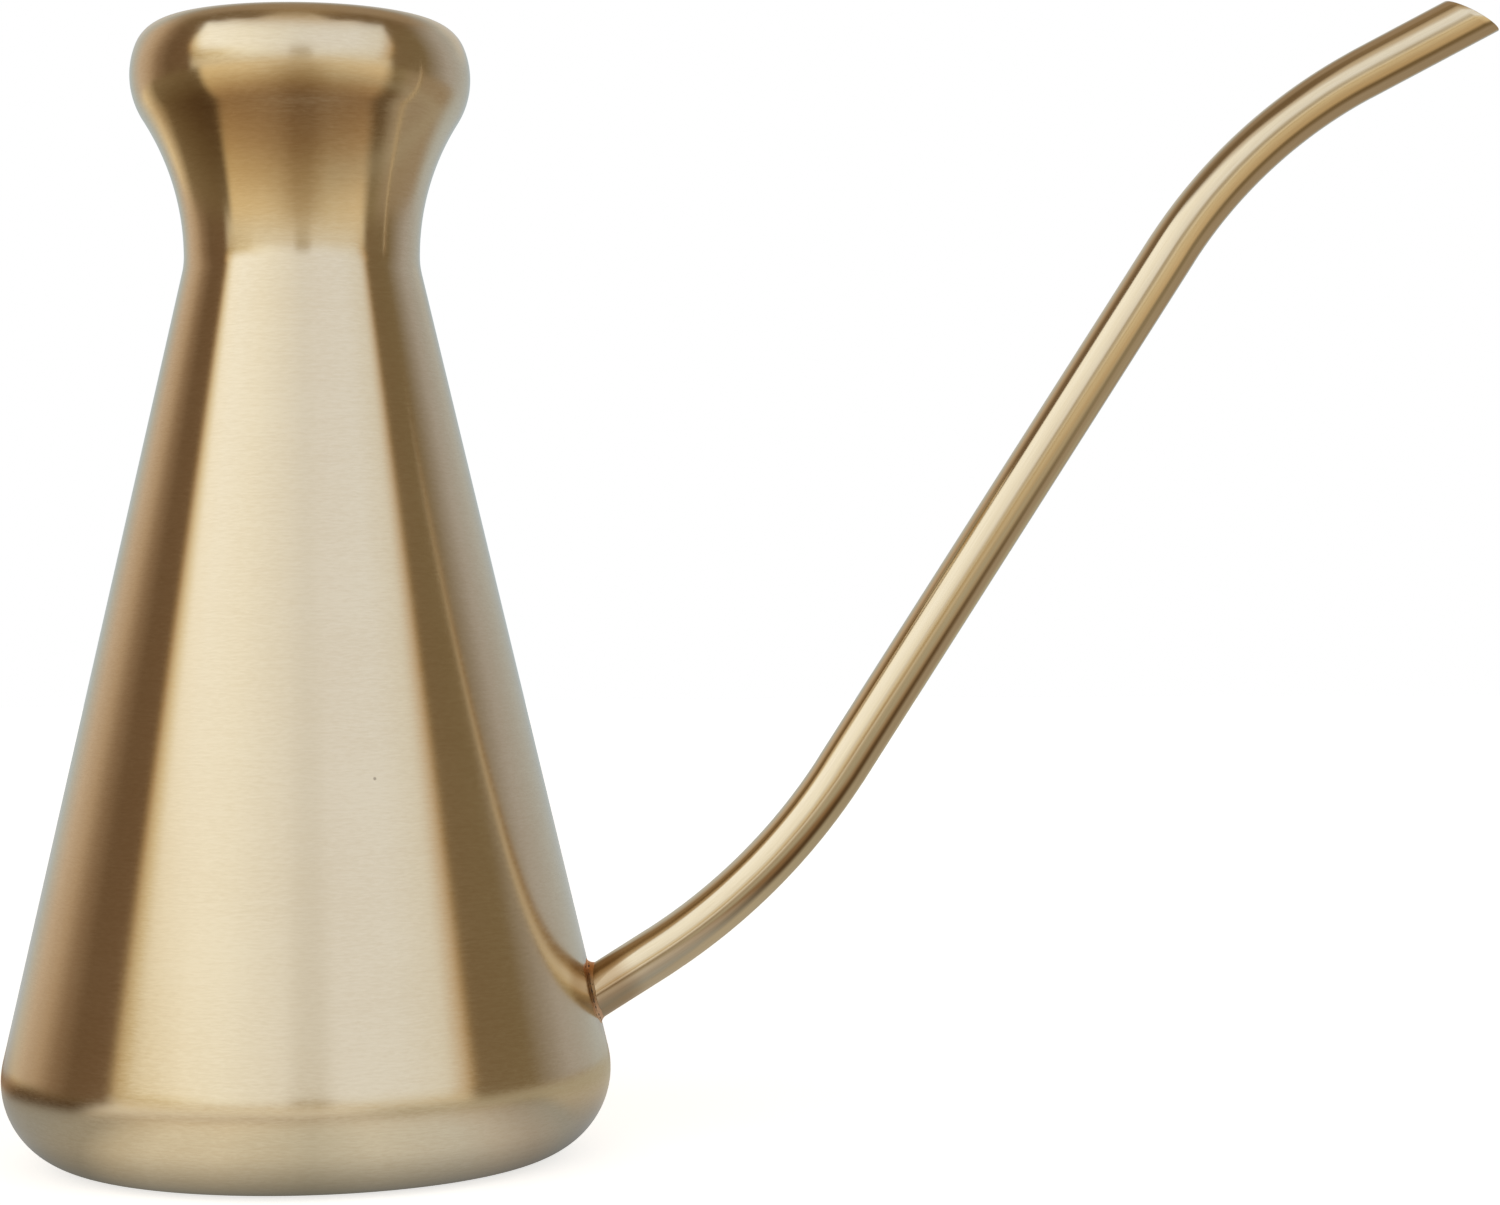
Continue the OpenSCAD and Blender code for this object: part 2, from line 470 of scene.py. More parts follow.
def ring_skin_tree() -> Tree:
    """Builds the tree that skins a row of rings, such as a turned wall or a bent tube.

    Each point of the input is a ring's middle, and its "side" and "cross" vectors
    reach from there to the ring, at 0 and at 90 degrees round it.

    Returns:
        The tree.
    """
    tree = bpy.data.node_groups.new("ring_skin", "GeometryNodeTree")
    given, result = _sockets(tree, {"Segments": "Int"})
    bench = Bench(tree)
    rings = given["Geometry"]
    count = bench.add("GeometryNodeAttributeDomainSize", {0: rings}).outputs["Point Count"]
    columns = bench.math("ADD", given["Segments"], 1)
    grid = bench.add("GeometryNodeMeshGrid", {"Vertices X": columns, "Vertices Y": count})
    index = bench.add("GeometryNodeInputIndex")
    column = bench.math("FLOOR", bench.math("DIVIDE", bench.math("ADD", index, 0.5), count))
    row = bench.math("SUBTRACT", index, bench.product(column, count))
    angle = bench.product(bench.math("DIVIDE", column, given["Segments"]), math.tau)

    kind = "FLOAT_VECTOR"

    def sampled(value: Any) -> Socket:
        """The ring's own value for the row of each grid point."""
        inputs = {"Geometry": rings, "Value": value, "Index": row}
        return bench.add("GeometryNodeSampleIndex", inputs, data_type=kind, domain="POINT").outputs[0]

    def named(name: str) -> Socket:
        """A vector stored on the rings, sampled the same way."""
        return sampled(bench.add("GeometryNodeInputNamedAttribute", {"Name": name}, data_type=kind))

    middle = sampled(bench.add("GeometryNodeInputPosition"))
    along_side = bench.vector("SCALE", named("side"), bench.math("COSINE", angle))
    along_cross = bench.vector("SCALE", named("cross"), bench.math("SINE", angle))
    place = bench.vector("ADD", bench.vector("ADD", middle, along_side), along_cross)
    inputs = {0: grid.outputs["Mesh"], "Name": UV_NAME, "Value": grid.outputs["UV Map"]}
    mapped = bench.add("GeometryNodeStoreNamedAttribute", inputs, data_type="FLOAT2", domain="CORNER")
    moved = bench.add("GeometryNodeSetPosition", {"Geometry": mapped, "Position": place})
    inputs = {"Geometry": moved, "Distance": MERGE_WITHIN}
    merged = bench.add("GeometryNodeMergeByDistance", inputs)
    smooth = bench.add("GeometryNodeSetShadeSmooth", {"Geometry": merged})
    corner = bench.add("GeometryNodeInputMeshEdgeAngle")
    sharp = bench.add("FunctionNodeCompare", {0: corner, 1: SHARP_ANGLE})
    inputs = {"Geometry": smooth, "Selection": sharp, "Shade Smooth": False}
    creased = bench.add("GeometryNodeSetShadeSmooth", inputs, domain="EDGE")
    _dressed(bench, creased, given, result)
    return tree


def bored_skin_tree(skin: Tree) -> Tree:
    """Builds the tree that skins rings and bores one round hole through the wall.

    Args:
        skin: The tree that skins rings.

    Returns:
        The tree.
    """
    tree = bpy.data.node_groups.new("bored_skin", "GeometryNodeTree")
    given, result = _sockets(tree, {
        "Segments": "Int",
        "Bore Radius": "Float", "Bore Length": "Float", "Bore Middle": "Vector", "Bore Turn": "Vector",
    })
    bench = Bench(tree)
    inputs = {"Vertices": BORE_SIDES, "Radius": given["Bore Radius"], "Depth": given["Bore Length"]}
    drill = bench.add("GeometryNodeMeshCylinder", inputs)
    turned = bench.add("GeometryNodeTransform", {
        "Geometry": drill.outputs["Mesh"],
        "Translation": given["Bore Middle"],
        "Rotation": given["Bore Turn"],
    })
    inputs = {"Mesh 1": _skinned(bench, skin, given), "Mesh 2": turned}
    bored = bench.add("GeometryNodeMeshBoolean", inputs, operation="DIFFERENCE", solver="EXACT")
    _dressed(bench, bored, given, result)
    return tree


def rippled_weld_tree(skin: Tree) -> Tree:
    """Builds the tree that skins a ring weld and lays its ripples round it.

    Args:
        skin: The tree that skins rings.

    Returns:
        The tree.
    """
    tree = bpy.data.node_groups.new("rippled_weld", "GeometryNodeTree")
    given, result = _sockets(tree, {
        "Segments": "Int", "Ripples": "Int",
        "Ripple Radius": "Float", "Ripple Height": "Float", "Ripple Size": "Vector",
    })
    bench = Bench(tree)
    inputs = {"Resolution": given["Ripples"], "Radius": given["Ripple Radius"]}
    circle = bench.add("GeometryNodeCurvePrimitiveCircle", inputs, mode="RADIUS")
    points = bench.add("GeometryNodeCurveToPoints", {"Curve": circle}, mode="EVALUATED")
    lift = bench.add("ShaderNodeCombineXYZ", {"Z": given["Ripple Height"]})
    inputs = {"Geometry": points.outputs["Points"], "Offset": lift}
    raised = bench.add("GeometryNodeSetPosition", inputs)
    bead = bench.add("GeometryNodeMeshUVSphere", {"Segments": 10, "Rings": 6, "Radius": 1.0})
    smooth = bench.add("GeometryNodeSetShadeSmooth", {"Geometry": bead.outputs["Mesh"]})
    inputs = {"Min": (0.86,) * 3, "Max": (1.0,) * 3, "Seed": RIPPLE_SEED}
    uneven = bench.add("FunctionNodeRandomValue", inputs, data_type="FLOAT_VECTOR")
    place = bench.add("GeometryNodeInputPosition")
    faced = bench.add("FunctionNodeAlignRotationToVector", {"Vector": place}, axis="X", pivot_axis="Z")
    laid = bench.add("GeometryNodeInstanceOnPoints", {
        "Points": raised,
        "Instance": smooth,
        "Rotation": faced,
        "Scale": bench.vector("MULTIPLY", uneven, given["Ripple Size"]),
    })
    together = bench.add("GeometryNodeJoinGeometry", {0: laid})
    bench.feed(together, 0, _skinned(bench, skin, given))
    _dressed(bench, together, given, result)
    return tree


# ---- mesh making


@dataclass
class Rings:
    """A row of rings in millimetres: their middles, and their side and cross vectors."""

    middles: Array
    sides: Array
    crosses: Array

    @classmethod
    def turned(cls, outline: Array) -> Rings:
        """Makes the rings of a shape turned on the Z axis.

        Args:
            outline: Points as radius and height.

        Returns:
            The rings.
        """
        zero = np.zeros(len(outline))
        radius, height = outline[:, 0], outline[:, 1]
        return cls(
            np.column_stack((zero, zero, height)),
            np.column_stack((radius, zero, zero)),
            np.column_stack((zero, radius, zero)),
        )

    def carrier(self) -> bpy.types.Mesh:
        """Makes the mesh of loose points that a ring tree reads.

        Returns:
            The mesh, in metres.
        """
        mesh = bpy.data.meshes.new("rings")
        mesh.from_pydata((self.middles * MM).tolist(), [], [])
        for name, vectors in (("side", self.sides), ("cross", self.crosses)):
            layer = mesh.attributes.new(name, "FLOAT_VECTOR", "POINT")
            layer.data.foreach_set("vector", (vectors * MM).astype(np.float32).ravel())
        return mesh


def placed(name: str, data: Any) -> Object:
    """Makes an object at the origin and puts it in the scene.

    Args:
        name: The object's name.
        data: Its mesh or camera.

    Returns:
        The object.
    """
    made = bpy.data.objects.new(name, data)
    bpy.context.scene.collection.objects.link(made)
    return made


def grown(name: str, rings: Rings, tree: Tree, values: dict[str, Any]) -> Object:
    """Runs a ring tree and keeps its result as a plain mesh.

    Args:
        name: The piece's name.
        rings: The rings that the tree reads.
        tree: The geometry tree.
        values: The tree's input values, by name.

    Returns:
        The piece, with no modifier left on it.
    """
    piece = placed(name, rings.carrier())
    modifier = piece.modifiers.new(tree.name, "NODES")
    modifier.node_group = tree
    identifiers = {
        item.name: item.identifier
        for item in tree.interface.items_tree
        if item.item_type == "SOCKET" and item.in_out == "INPUT"
    }
    for label, value in values.items():
        modifier[identifiers[label]] = value
    depsgraph = bpy.context.evaluated_depsgraph_get()
    mesh = bpy.data.meshes.new_from_object(piece.evaluated_get(depsgraph), depsgraph=depsgraph)
    piece.modifiers.clear()
    piece.data = mesh
    mesh.name = name
    return piece


def arc(centre: Sequence[float], radius: float, start: float, end: float, step: float = 2.0) -> Array:
    """Makes the points of an arc.

    Args:
        centre: The arc's centre.
        radius: The arc's radius.
        start: The first point's angle, in degrees.
        end: The last point's angle, in degrees.
        step: The widest angle between points, in degrees.

    Returns:
        The points, one a row.
    """
    count = max(2, math.ceil(abs(end - start) / step))
    angles = np.radians(np.linspace(start, end, count + 1))
    return np.asarray(centre) + radius * np.column_stack((np.cos(angles), np.sin(angles)))


def joined(*runs: Any, longest: float = 2.5) -> Array:
    """Joins runs of points and divides the long spans between them.

    Args:
        *runs: Arrays or lists of points.
        longest: The longest span that is left whole.

    Returns:
        The points, with none twice in a row.
    """
    points = np.vstack([np.asarray(run, float).reshape(-1, 2) for run in runs])
    kept = [points[0]]
    for point in points[1:]:
        span = float(np.linalg.norm(point - kept[-1]))
        if span < 1e-4:
            continue
        parts = math.ceil(span / longest)
        start = kept[-1]
        kept += [start + (point - start) * part / parts for part in range(1, parts + 1)]
    return np.array(kept)


# ---- the can's own shape


@dataclass(frozen=True)
class CanOutline:
    """The can's outside profile, as radius and height."""

    body_d: float = 117.4
    height: float = 220.4
    corner_r: float = 16.7
    wall: float = 0.7
    waist_d: float = 45.6
    crease_r: float = 14.5
    flare_r: float = 49.5
    lip_d: float = 65.8
    lip_belly_r: float = 15.6
    lip_roll_from: float = 22.0
    lip_roll_r: float = 7.2
    lip_curl_r: float = 4.0
    curl_from: float = 100.0
    curl_to: float = 235.0
    foot_w: float = 5.0

    @property
    def corner_c(self) -> Array:
        """Centre of the round bottom corner."""
        return np.array([self.body_d / 2 - self.corner_r, self.corner_r])

    @property
    def belly_x(self) -> float:
        """Distance of the lip belly's centre from the axis."""
        return self.lip_d / 2 - self.lip_belly_r

    @property
    def flare_rise(self) -> float:
        """Height of the lip belly's centre above the waist."""
        reach = self.waist_d / 2 + self.flare_r - self.belly_x
        return math.sqrt((self.flare_r + self.lip_belly_r) ** 2 - reach**2)

    @property
    def flare_end(self) -> float:
        """Height angle at which the flare meets the lip belly."""
        reach = self.waist_d / 2 + self.flare_r - self.belly_x
        return -math.degrees(math.atan2(self.flare_rise, reach))

    @property
    def waist_z(self) -> float:
        """Finds how high the waist is.

        Returns:
            The height.
        """
        turn = math.sin(math.radians(self.lip_roll_from))
        roll_up = (self.lip_belly_r - self.lip_roll_r) * turn + self.lip_roll_r
        return self.height - roll_up - self.flare_rise

    @property
    def crease_c(self) -> Array:
        """Centre of the crease between cone and waist."""
        return np.array([self.waist_d / 2 + self.crease_r, self.waist_z])

    @property
    def flare_c(self) -> Array:
        """Centre of the neck's flare."""
        return np.array([self.waist_d / 2 + self.flare_r, self.waist_z])

    @property
    def belly_c(self) -> Array:
        """Centre of the lip's belly."""
        return np.array([self.belly_x, self.waist_z + self.flare_rise])

    @property
    def roll_c(self) -> Array:
        """Centre of the roll over the lip."""
        return self.belly_c + self._towards(self.lip_roll_from, self.lip_belly_r - self.lip_roll_r)

    @property
    def curl_c(self) -> Array:
        """Centre of the curled edge."""
        return self.roll_c + self._towards(self.curl_from, self.lip_roll_r - self.lip_curl_r)

    @property
    def lean(self) -> float:
        """Finds how far the cone's side leans from the axis.

        Returns:
            The angle, in degrees.
        """
        side = self.crease_c - self.corner_c
        touch = math.asin((self.corner_r + self.crease_r) / float(np.linalg.norm(side)))
        return math.degrees(touch + math.atan2(-side[0], side[1]))

    @property
    def cone_foot(self) -> Array:
        """Point at which the straight side leaves the round corner."""
        return self.corner_c + self._towards(self.lean, self.corner_r)

    @staticmethod
    def _towards(angle: float, length: float) -> Array:
        """A step of that length at that height angle."""
        return length * np.array([math.cos(math.radians(angle)), math.sin(math.radians(angle))])

    @staticmethod
    def _hollow(centre: Array, radius: float, height: float) -> Array:
        """A point at that height on an arc whose centre lies outside the can."""
        return np.array([centre[0] - math.sqrt(radius**2 - (height - centre[1]) ** 2), height])

    def side_radius(self, height: Any) -> Any:
        """Radius of the straight side at one height or at an array of them."""
        return self.cone_foot[0] - (height - self.cone_foot[1]) * math.tan(math.radians(self.lean))

    def cone_side(self, depth: float, top: float) -> Array:
        """Follows the cone from its foot up to a height.

        Args:
            depth: How far inside the outer face.
            top: The height at which it ends.

        Returns:
            The points.
        """
        radius = self.crease_r + depth
        last = 180 + math.degrees(math.asin((self.waist_z - top) / radius))
        return joined(
            arc(self.corner_c, self.corner_r - depth, -90, self.lean, 2.5),
            arc(self.crease_c, radius, 180 + self.lean, last, 1.2),
        )

    def neck_side(self, depth: float, bottom: float) -> Array:
        """Follows the neck from a height up to its curled edge.

        Args:
            depth: How far inside the outer face.
            bottom: The height at which it starts.

        Returns:
            The points.
        """
        radius = self.flare_r + depth
        first = 180 - math.degrees(math.asin((bottom - self.waist_z) / radius))
        return joined(
            arc(self.flare_c, radius, first, 180 + self.flare_end, 1.2),
            arc(self.belly_c, self.lip_belly_r - depth, self.flare_end, self.lip_roll_from, 2.0),
            arc(self.roll_c, self.lip_roll_r - depth, self.lip_roll_from, self.curl_from, 3.0),
            arc(self.curl_c, self.lip_curl_r - depth, self.curl_from, self.curl_to, 4.0),
        )

    def weld_loop(self, half: float, proud: float) -> Array:
        """Outlines the ring weld at the waist.

        Args:
            half: Half the weld's height.
            proud: How far it stands proud inside.

        Returns:
            The closed loop of points.
        """
        low, high = self.waist_z - half, self.waist_z + half
        inside = self.waist_d / 2 - self.wall - proud
        heights = np.linspace(low, high, 7)
        outer = [
            self._hollow(self.crease_c, self.crease_r, z) if z < self.waist_z else
            self._hollow(self.flare_c, self.flare_r, z)
            for z in heights
        ]
        inner = [
            self._hollow(self.flare_c, self.flare_r + self.wall, high),
            (inside, self.waist_z + half / 2),
            (inside, self.waist_z - half / 2),
            self._hollow(self.crease_c, self.crease_r + self.wall, low),
        ]
        return joined(outer, inner, [outer[0]])


@dataclass
class Workshop:
    """The outline, the ring skin tree and the list of built pieces that the can's sub-assemblies share."""

    outline: CanOutline = field(default_factory=CanOutline)
    skin: Tree = field(default_factory=ring_skin_tree)
    made: list[Object] = field(default_factory=list)

    def enter(self, piece: Object, node: str, slot: str) -> None:
        """Puts a finished piece in the place of its CAD node.

        Args:
            piece: The finished piece.
            node: The CAD node that it stands for.
            slot: The record's material slot.
        """
        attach(piece, BODY)
        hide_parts(node)
        self.made.append(piece)
        log.info("%s: %d vertices, finish %s", piece.name, len(piece.data.vertices), slot)


@dataclass
class BodyCone:
    """The spun cone wall with its round bottom corner and the hole for the spout."""

    shop: Workshop
    finish: BrushedBrass
    weld_half: float = 0.7
    bore_r: float = 5.05
    bore_reach: float = 9.0
    segments: int = 224

    def build(self, spout: Spout) -> None:
        """Builds the wall and bores it.

        Args:
            spout: The spout that goes through the wall.
        """
        outline = self.shop.outline
        top = outline.waist_z - self.weld_half
        outer = outline.cone_side(0, top)
        inner = outline.cone_side(outline.wall, top)[::-1]
        foot = outline.corner_c[0] - outline.foot_w
        loop = joined([(foot, 0)], outer, inner, [(foot, outline.wall), (foot, 0)])
        values = {
            "Segments": self.segments,
            "Bore Radius": self.bore_r * MM,
            "Bore Length": 2 * self.bore_reach * MM,
            "Bore Middle": (spout.root * MM).tolist(),
            "Bore Turn": (0.0, math.radians(90 - spout.root_rise), 0.0),
            "Material": self.finish.material(),
        }
        piece = grown("cone_wall", Rings.turned(loop), bored_skin_tree(self.shop.skin), values)
        self.shop.enter(piece, "body_cone", "brushed_brass")


@dataclass
class NeckFunnel:
    """The spun neck with its flare, thick lip and curled edge."""

    shop: Workshop
    finish: BrushedBrass
    weld_half: float = 0.7
    segments: int = 224

    def build(self) -> None:
        """Builds the neck."""
        outline = self.shop.outline
        bottom = outline.waist_z + self.weld_half
        outer = outline.neck_side(0, bottom)
        inner = outline.neck_side(outline.wall, bottom)[::-1]
        loop = joined(outer, inner, [outer[0]])
        values = {"Segments": self.segments, "Material": self.finish.material()}
        piece = grown("neck_and_lip", Rings.turned(loop), self.shop.skin, values)
        self.shop.enter(piece, "neck_funnel", "brushed_brass")


@dataclass
class WaistWeld:
    """The ring weld at the waist: dressed flush outside, rippled inside."""

    shop: Workshop
    finish: BrushedBrass
    half: float = 0.7
    proud: float = 0.2
    ripples: int = 150
    segments: int = 224
    bead: Triple = (0.32, 0.62, 0.55)

    def build(self) -> None:
        """Builds the weld."""
        outline = self.shop.outline
        inside = outline.waist_d / 2 - outline.wall - self.proud
        values = {
            "Segments": self.segments,
            "Ripples": self.ripples,
            "Ripple Radius": inside * MM,
            "Ripple Height": outline.waist_z * MM,
            "Ripple Size": [size * MM for size in self.bead],
            "Material": self.finish.material(),
        }
        loop = outline.weld_loop(self.half, self.proud)
        piece = grown("waist_ring_weld", Rings.turned(loop), rippled_weld_tree(self.shop.skin), values)
        self.shop.enter(piece, "waist_weld", "dressed_weld")


@dataclass
class Base:
    """The pressed base plate and the ring weld that seals it."""

    shop: Workshop
    plate_finish: BrushedBrass
    weld_finish: BrushedBrass
    plate_t: float = 0.8
    plate_lap: float = 3.0
    plate_rise: float = 2.0
    weld_leg: float = 0.6
    ledge: float = 1.0
    press_r: float = 1.2
    longest_span: float = 6.0
    plate_segments: int = 160
    weld_segments: int = 192
    ripples: int = 330
    ripple_in: float = 0.30
    bead: Triple = (0.30, 0.48, 0.28)

    @property
    def foot_in_r(self) -> float:
        """Inner radius of the foot ring."""
        return self.shop.outline.corner_c[0] - self.shop.outline.foot_w

    def _pressed(self, low: float) -> Array:
        """Follows one face of the plate from the axis to its edge.

        Args:
            low: The face's height at the edge.

        Returns:
            The points.
        """
        flat_r = self.foot_in_r - self.weld_leg - self.ledge
        raised_r = flat_r - self.plate_rise
        share = np.linspace(0, 1, 13)
        eased = share * share * (3 - 2 * share)
        step = np.column_stack((
            raised_r - self.press_r + share * (flat_r - raised_r + 2 * self.press_r),
            low + self.plate_rise * (1 - eased),
        ))
        edge = self.foot_in_r + self.plate_lap
        return joined([(0, low + self.plate_rise)], step, [(edge, low)], longest=self.longest_span)

    def build(self) -> None:
        """Builds the plate and its weld."""
        wall = self.shop.outline.wall
        under, over = self._pressed(wall), self._pressed(wall + self.plate_t)
        loop = joined(under, over[::-1], longest=self.longest_span)
        values = {"Segments": self.plate_segments, "Material": self.plate_finish.material()}
        plate = grown("pressed_base", Rings.turned(loop), self.shop.skin, values)
        self.shop.enter(plate, "base_plate", "base_brass")
        foot, leg = self.foot_in_r, self.weld_leg
        bead_loop = joined([(foot, wall), (foot, wall - leg)],
                           arc((foot - leg, wall - leg), leg, 0, 90, 15)[1:-1],
                           [(foot - leg, wall), (foot, wall)])
        values = {
            "Segments": self.weld_segments,
            "Ripples": self.ripples,
            "Ripple Radius": (foot - self.ripple_in) * MM,
            "Ripple Height": (wall - self.ripple_in) * MM,
            "Ripple Size": [size * MM for size in self.bead],
            "Material": self.weld_finish.material(),
        }
        tree = rippled_weld_tree(self.shop.skin)
        weld = grown("base_ring_weld", Rings.turned(bead_loop), tree, values)
        self.shop.enter(weld, "base_weld", "base_weld")


@dataclass
class Spout:
    """The bent spout tube and the braze collar at its root."""

    shop: Workshop
    tube_d: float = 10.0
    tube_wall: float = 0.5
    root_z: float = 31.4
    root_rise: float = 31.9
    root_len: float = 14.1
    first_bend_r: float = 118.0
    run_rise: float = 57.0
    run_len: float = 119.3
    second_bend_r: float = 101.0
    tip_rise: float = 27.5
    tip_len: float = 23.7
    tip_cut: float = 56.4
    root_reach: float = 5.0
    braze_leg: float = 1.3
    braze_waves: tuple[Triple, ...] = (
        (0.16, 3, 0.7), (0.10, 7, 2.1), (0.07, 13, 4.0), (0.05, 23, 1.2),
    )
    braze_bulk: float = 0.66
    braze_sway: float = 0.40
    crown_w: float = 0.6
    crown_on_cone: float = 0.45
    crown_on_tube: float = 0.55
    fullness: float = 0.35
    braze_sides: int = 180
    braze_steps: int = 11
    braze_tuck: float = 0.3
    braze_lap: float = 0.1
    edge_round: float = 0.12
    slant_over: float = 14.0
    flattening: float = 0.018
    segments: int = 72

    @property
    def root(self) -> Array:
        """Where the centreline meets the cone."""
        return np.array([self.shop.outline.side_radius(self.root_z), 0.0, self.root_z])

    @staticmethod
    def _axes(heading: Any) -> tuple[Array, Array]:
        """Gives the directions along the tube and square to it, upwards.

        Args:
            heading: Rises above the horizontal, in degrees.

        Returns:
            The two directions, one a row for each heading.
        """
        angle = np.radians(np.atleast_1d(heading))
        zero = np.zeros(len(angle))
        along = np.column_stack((np.cos(angle), zero, np.sin(angle)))
        upward = np.column_stack((-np.sin(angle), zero, np.cos(angle)))
        return along, upward

    def _stations(self) -> tuple[Array, Array, Array, Array]:
        """Walks the centreline from inside the cone to the tip.

        Returns:
            The points, their headings, how bent the tube is, and the slant's share.
        """
        legs = (
            (0.0, self.root_reach + self.root_len, self.root_rise, self.root_rise, 2.0),
            (self.first_bend_r, 0.0, self.root_rise, self.run_rise, 1.8),
            (0.0, self.run_len, self.run_rise, self.run_rise, 5.0),
            (self.second_bend_r, 0.0, self.run_rise, self.tip_rise, 1.6),
            (0.0, self.tip_len, self.tip_rise, self.tip_rise, 1.2),
        )
        along, _ = self._axes(self.root_rise)
        place = self.root - self.root_reach * along[0]
        points, headings, bent = [place], [self.root_rise], [0.0]
        for radius, length, start, end, step in legs:
            span = length or radius * abs(math.radians(end - start))
            count = math.ceil(span / step)
            for number in range(1, count + 1):
                middle = start + (end - start) * (number - 0.5) / count
                chord = span / count
                if radius:
                    half = abs(math.radians(end - start)) / count / 2
                    chord = 2 * radius * math.sin(half)
                place = place + chord * self._axes(middle)[0][0]
                points.append(place)
                headings.append(start + (end - start) * number / count)
                bent.append(math.sin(math.pi * number / count) ** 0.5 if radius else 0.0)
        points_array = np.array(points)
        spans = np.linalg.norm(np.diff(points_array, axis=0), axis=1)
        to_tip = np.append(np.cumsum(spans[::-1])[::-1], 0.0)
        slant = np.clip(1 - to_tip / self.slant_over, 0, 1)
        return points_array, np.array(headings), np.array(bent), slant

    def _tube_rings(self) -> Rings:
        """Lays the tube's rings: up the outside, over the cut edge, down the inside.

        Returns:
            The rings.
        """
        points, headings, bent, slant = self._stations()
        along, upward = self._axes(headings)
        tip = math.tan(math.radians(90 - self.tip_cut))
        outer_r = self.tube_d / 2
        inner_r = outer_r - self.tube_wall
        middle_r = (outer_r + inner_r) / 2
        half = self.tube_wall / 2
        angles = np.radians(np.linspace(20, 160, 8))
        last = len(points) - 1
        order = [*range(last + 1), *[last] * len(angles), *range(last, -1, -1), 0]
        radius = np.concatenate((
            np.full(last + 1, outer_r), middle_r + half * np.cos(angles),
            np.full(last + 1, inner_r), [outer_r],
        ))
        push = np.concatenate((
            -self.edge_round * slant, self.edge_round * (np.sin(angles) - 1),
            -self.edge_round * slant[::-1], [0.0],
        ))
        lean = upward[order] - (tip * slant[order])[:, None] * along[order]
        squeeze = self.flattening * bent[order]
        sides = (radius * (1 - squeeze))[:, None] * lean
        crosses = (radius * (1 + squeeze / 2))[:, None] * -SIDEWAYS
        return Rings(points[order] + push[:, None] * along[order], sides, crosses)

    def build_tube(self, finish: BrushedBrass) -> None:
        """Builds the tube.

        Args:
            finish: The tube's finish.
        """
        values = {"Segments": self.segments, "Material": finish.material()}
        piece = grown("bent_spout", self._tube_rings(), self.shop.skin, values)
        self.shop.enter(piece, "spout_tube", "tube_brass")

    def _on_cone(self, angle: Array, radius: Array) -> Array:
        """Finds how far along the tube a line beside its axis meets the cone.

        Args:
            angle: Angles round the tube, 0 on top, in radians.
            radius: Distances from the tube's axis.

        Returns:
            The distances along the tube, from the root.
        """
        along, upward = (axis[0] for axis in self._axes(self.root_rise))
        start = self.root + (radius * np.cos(angle))[:, None] * upward
        start = start + (radius * np.sin(angle))[:, None] * SIDEWAYS
        run = np.zeros(len(angle))
        for _ in range(30):
            at = start + run[:, None] * along
            gap = np.hypot(at[:, 0], at[:, 1]) - self.shop.outline.side_radius(at[:, 2])
            run = run - gap / (along[0] + along[2] * math.tan(math.radians(self.shop.outline.lean)))
        return run

    def build_braze(self, finish: BrazeAlloy) -> None:
        """Builds the uneven braze collar as one closed ring.

        Args:
            finish: The braze's finish.
        """
        count = self.braze_sides
        angle = np.linspace(0, math.tau, count, endpoint=False)
        uneven = sum(size * np.sin(times * angle + start) for size, times, start in self.braze_waves)
        crown = np.exp(-((np.angle(np.exp(1j * angle)) / self.crown_w) ** 2))
        bulk, sway = self.braze_bulk, self.braze_sway * uneven
        on_cone = self.braze_leg * (bulk + sway + self.crown_on_cone * crown)
        on_tube = self.braze_leg * (bulk - sway + self.crown_on_tube * crown)
        tube_r = self.tube_d / 2
        skirt_r = tube_r + on_cone
        skirt = self._on_cone(angle, skirt_r)
        corner = self._on_cone(angle, np.full(count, tube_r))
        buried, lap = self.braze_tuck, self.braze_lap
        rows = []
        fullness = self.fullness * (1 + crown)
        for share in np.linspace(0, 1, self.braze_steps):
            first, middle, last = (1 - share) ** 2, 2 * share * (1 - share), share**2
            bend_r = tube_r + fullness * (skirt_r - tube_r) / 2
            bend_t = corner + fullness * (on_tube / 2)
            rows.append((
                first * skirt_r + middle * bend_r + last * tube_r,
                first * skirt + middle * bend_t + last * (corner + on_tube),
            ))
        inside = np.full(count, tube_r - buried)
        rows += [(inside, corner + on_tube - lap), (inside, corner - buried), (skirt_r - lap, skirt - buried)]
        along, upward = (axis[0] for axis in self._axes(self.root_rise))
        points = np.concatenate([
            self.root + t[:, None] * along + (r * np.cos(angle))[:, None] * upward
            + (r * np.sin(angle))[:, None] * SIDEWAYS
            for r, t in rows
        ])
        total = len(rows)
        faces, places = [], []
        for row in range(total):
            for column in range(count):
                ahead, above = (column + 1) % count, (row + 1) % total
                faces.append((
                    row * count + column, above * count + column,
                    above * count + ahead, row * count + ahead,
                ))
                for u, v in ((0, 0), (0, 1), (1, 1), (1, 0)):
                    places += [(column + u) / count, (row + v) / total]
        mesh = bpy.data.meshes.new("braze_collar")
        mesh.from_pydata((points * MM).tolist(), [], faces)
        mesh.uv_layers.new(name=UV_NAME).data.foreach_set("uv", places)
        mesh.polygons.foreach_set("use_smooth", [True] * len(faces))
        mesh.materials.append(finish.material())
        self.shop.enter(placed("braze_collar", mesh), "spout_braze", "braze")


# ---- studio


